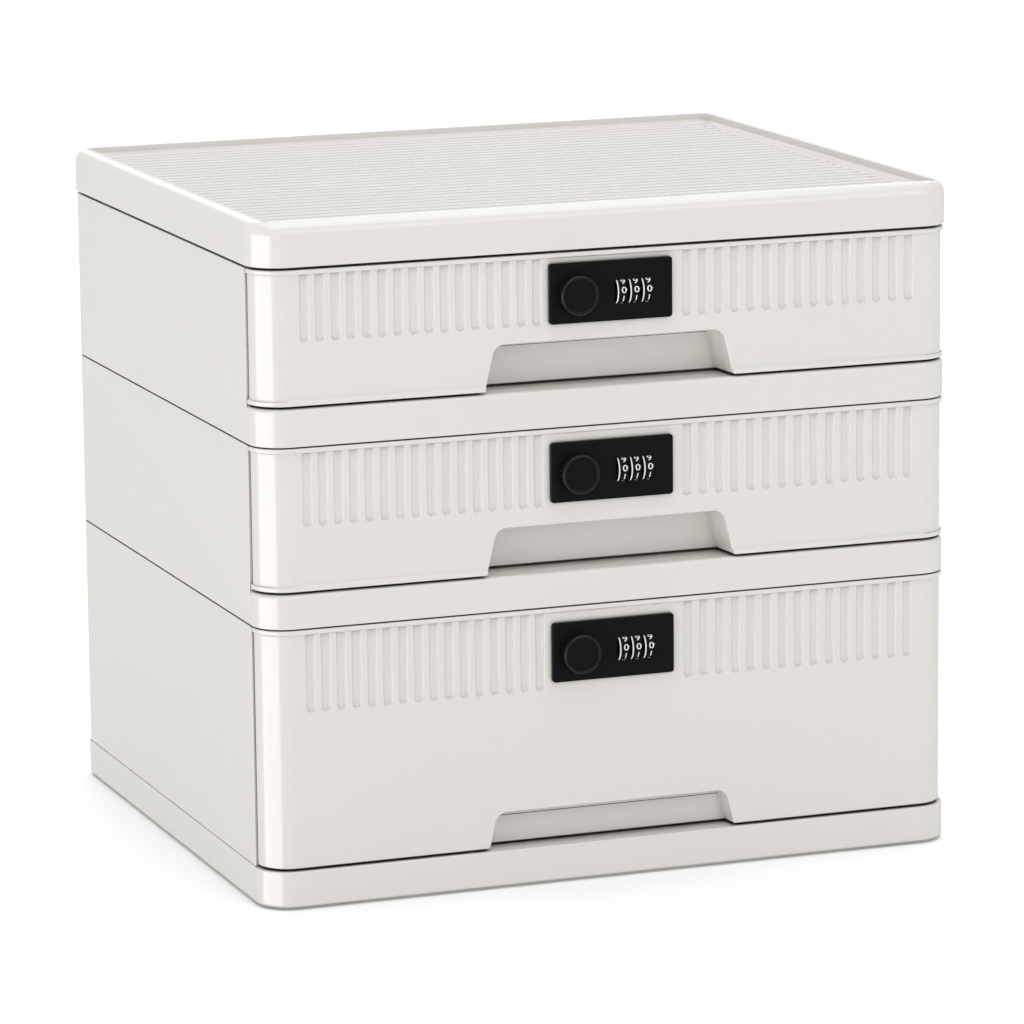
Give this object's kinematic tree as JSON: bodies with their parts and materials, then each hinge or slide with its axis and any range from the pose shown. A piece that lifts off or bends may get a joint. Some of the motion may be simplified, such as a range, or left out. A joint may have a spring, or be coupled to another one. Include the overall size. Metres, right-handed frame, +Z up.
{
  "type": "desktop file drawer",
  "caption": "Stacked desktop drawer cabinet in moulded plastic, with wrap-round drawer fronts, finger pulls, number-wheel locks and a ribbed top tray.",
  "frame": {"origin": "on the surface the feet stand on, under the middle of the whole object, knobs included", "axes": "+X to the right seen from the front, +Y from the drawer fronts to the back, +Z up"},
  "size_m": [0.3512, 0.307, 0.324],
  "materials": {
    "shell": "ivory moulded plastic, satin gloss",
    "front": "ivory moulded plastic, satin gloss",
    "tray": "ivory moulded plastic, satin",
    "lock_plate": "black plastic, satin",
    "lock_case": "black plastic, fine grain",
    "knob": "black plastic, finely textured face",
    "wheel": "black plastic with white numbers",
    "steel": "zinc-plated steel",
    "fastener": "zinc-plated steel",
    "foot": "matt black rubber"
  },
  "bodies": {
    "cabinet": {"top_cover": "shell", "upper_frame": "shell", "middle_frame": "shell", "lower_frame": "shell", "base": "shell", "rubber_feet": "foot", "tie_bolts": "fastener"},
    "upper_drawer": {"upper_tray": "tray", "upper_front": "front", "upper_front_screws": "fastener", "upper_lock_plate": "lock_plate", "upper_lock_case": "lock_case", "upper_case_screws": "fastener", "upper_wheel_axle": "steel", "upper_detent_spring": "steel"},
    "upper_lock": {"upper_lock_knob": "knob", "upper_lock_cam": "steel", "upper_cam_screw": "fastener"},
    "upper_wheel_1": {"upper_number_wheel_1": "wheel"},
    "upper_wheel_2": {"upper_number_wheel_2": "wheel"},
    "upper_wheel_3": {"upper_number_wheel_3": "wheel"},
    "middle_drawer": {"middle_tray": "tray", "middle_front": "front", "middle_front_screws": "fastener", "middle_lock_plate": "lock_plate", "middle_lock_case": "lock_case", "middle_case_screws": "fastener", "middle_wheel_axle": "steel", "middle_detent_spring": "steel"},
    "middle_lock": {"middle_lock_knob": "knob", "middle_lock_cam": "steel", "middle_cam_screw": "fastener"},
    "middle_wheel_1": {"middle_number_wheel_1": "wheel"},
    "middle_wheel_2": {"middle_number_wheel_2": "wheel"},
    "middle_wheel_3": {"middle_number_wheel_3": "wheel"},
    "lower_drawer": {"lower_tray": "tray", "lower_front": "front", "lower_front_screws": "fastener", "lower_lock_plate": "lock_plate", "lower_lock_case": "lock_case", "lower_case_screws": "fastener", "lower_wheel_axle": "steel", "lower_detent_spring": "steel"},
    "lower_lock": {"lower_lock_knob": "knob", "lower_lock_cam": "steel", "lower_cam_screw": "fastener"},
    "lower_wheel_1": {"lower_number_wheel_1": "wheel"},
    "lower_wheel_2": {"lower_number_wheel_2": "wheel"},
    "lower_wheel_3": {"lower_number_wheel_3": "wheel"}
  },
  "joints": [
    {"name": "upper_drawer_slide", "type": "slide", "parent": "cabinet", "child": "upper_drawer", "axis": [0, -1, 0], "range_m": [0, 0.215]},
    {"name": "upper_lock_turn", "type": "hinge", "parent": "upper_drawer", "child": "upper_lock", "pos_m": [-0.0187, -0.1471, 0.2819], "axis": [0, -1, 0], "range_deg": [0, 90]},
    {"name": "upper_wheel_1_spin", "type": "hinge", "parent": "upper_drawer", "child": "upper_wheel_1", "pos_m": [0.00325, -0.1434, 0.2819], "axis": [1, 0, 0], "continuous": true},
    {"name": "upper_wheel_2_spin", "type": "hinge", "parent": "upper_drawer", "child": "upper_wheel_2", "pos_m": [0.00965, -0.1434, 0.2819], "axis": [1, 0, 0], "continuous": true},
    {"name": "upper_wheel_3_spin", "type": "hinge", "parent": "upper_drawer", "child": "upper_wheel_3", "pos_m": [0.01605, -0.1434, 0.2819], "axis": [1, 0, 0], "continuous": true},
    {"name": "middle_drawer_slide", "type": "slide", "parent": "cabinet", "child": "middle_drawer", "axis": [0, -1, 0], "range_m": [0, 0.215]},
    {"name": "middle_lock_turn", "type": "hinge", "parent": "middle_drawer", "child": "middle_lock", "pos_m": [-0.0187, -0.1471, 0.1973], "axis": [0, -1, 0], "range_deg": [0, 90]},
    {"name": "middle_wheel_1_spin", "type": "hinge", "parent": "middle_drawer", "child": "middle_wheel_1", "pos_m": [0.00325, -0.1434, 0.1973], "axis": [1, 0, 0], "continuous": true},
    {"name": "middle_wheel_2_spin", "type": "hinge", "parent": "middle_drawer", "child": "middle_wheel_2", "pos_m": [0.00965, -0.1434, 0.1973], "axis": [1, 0, 0], "continuous": true},
    {"name": "middle_wheel_3_spin", "type": "hinge", "parent": "middle_drawer", "child": "middle_wheel_3", "pos_m": [0.01605, -0.1434, 0.1973], "axis": [1, 0, 0], "continuous": true},
    {"name": "lower_drawer_slide", "type": "slide", "parent": "cabinet", "child": "lower_drawer", "axis": [0, -1, 0], "range_m": [0, 0.215]},
    {"name": "lower_lock_turn", "type": "hinge", "parent": "lower_drawer", "child": "lower_lock", "pos_m": [-0.0187, -0.1471, 0.1111], "axis": [0, -1, 0], "range_deg": [0, 90]},
    {"name": "lower_wheel_1_spin", "type": "hinge", "parent": "lower_drawer", "child": "lower_wheel_1", "pos_m": [0.00325, -0.1434, 0.1111], "axis": [1, 0, 0], "continuous": true},
    {"name": "lower_wheel_2_spin", "type": "hinge", "parent": "lower_drawer", "child": "lower_wheel_2", "pos_m": [0.00965, -0.1434, 0.1111], "axis": [1, 0, 0], "continuous": true},
    {"name": "lower_wheel_3_spin", "type": "hinge", "parent": "lower_drawer", "child": "lower_wheel_3", "pos_m": [0.01605, -0.1434, 0.1111], "axis": [1, 0, 0], "continuous": true}
  ]
}
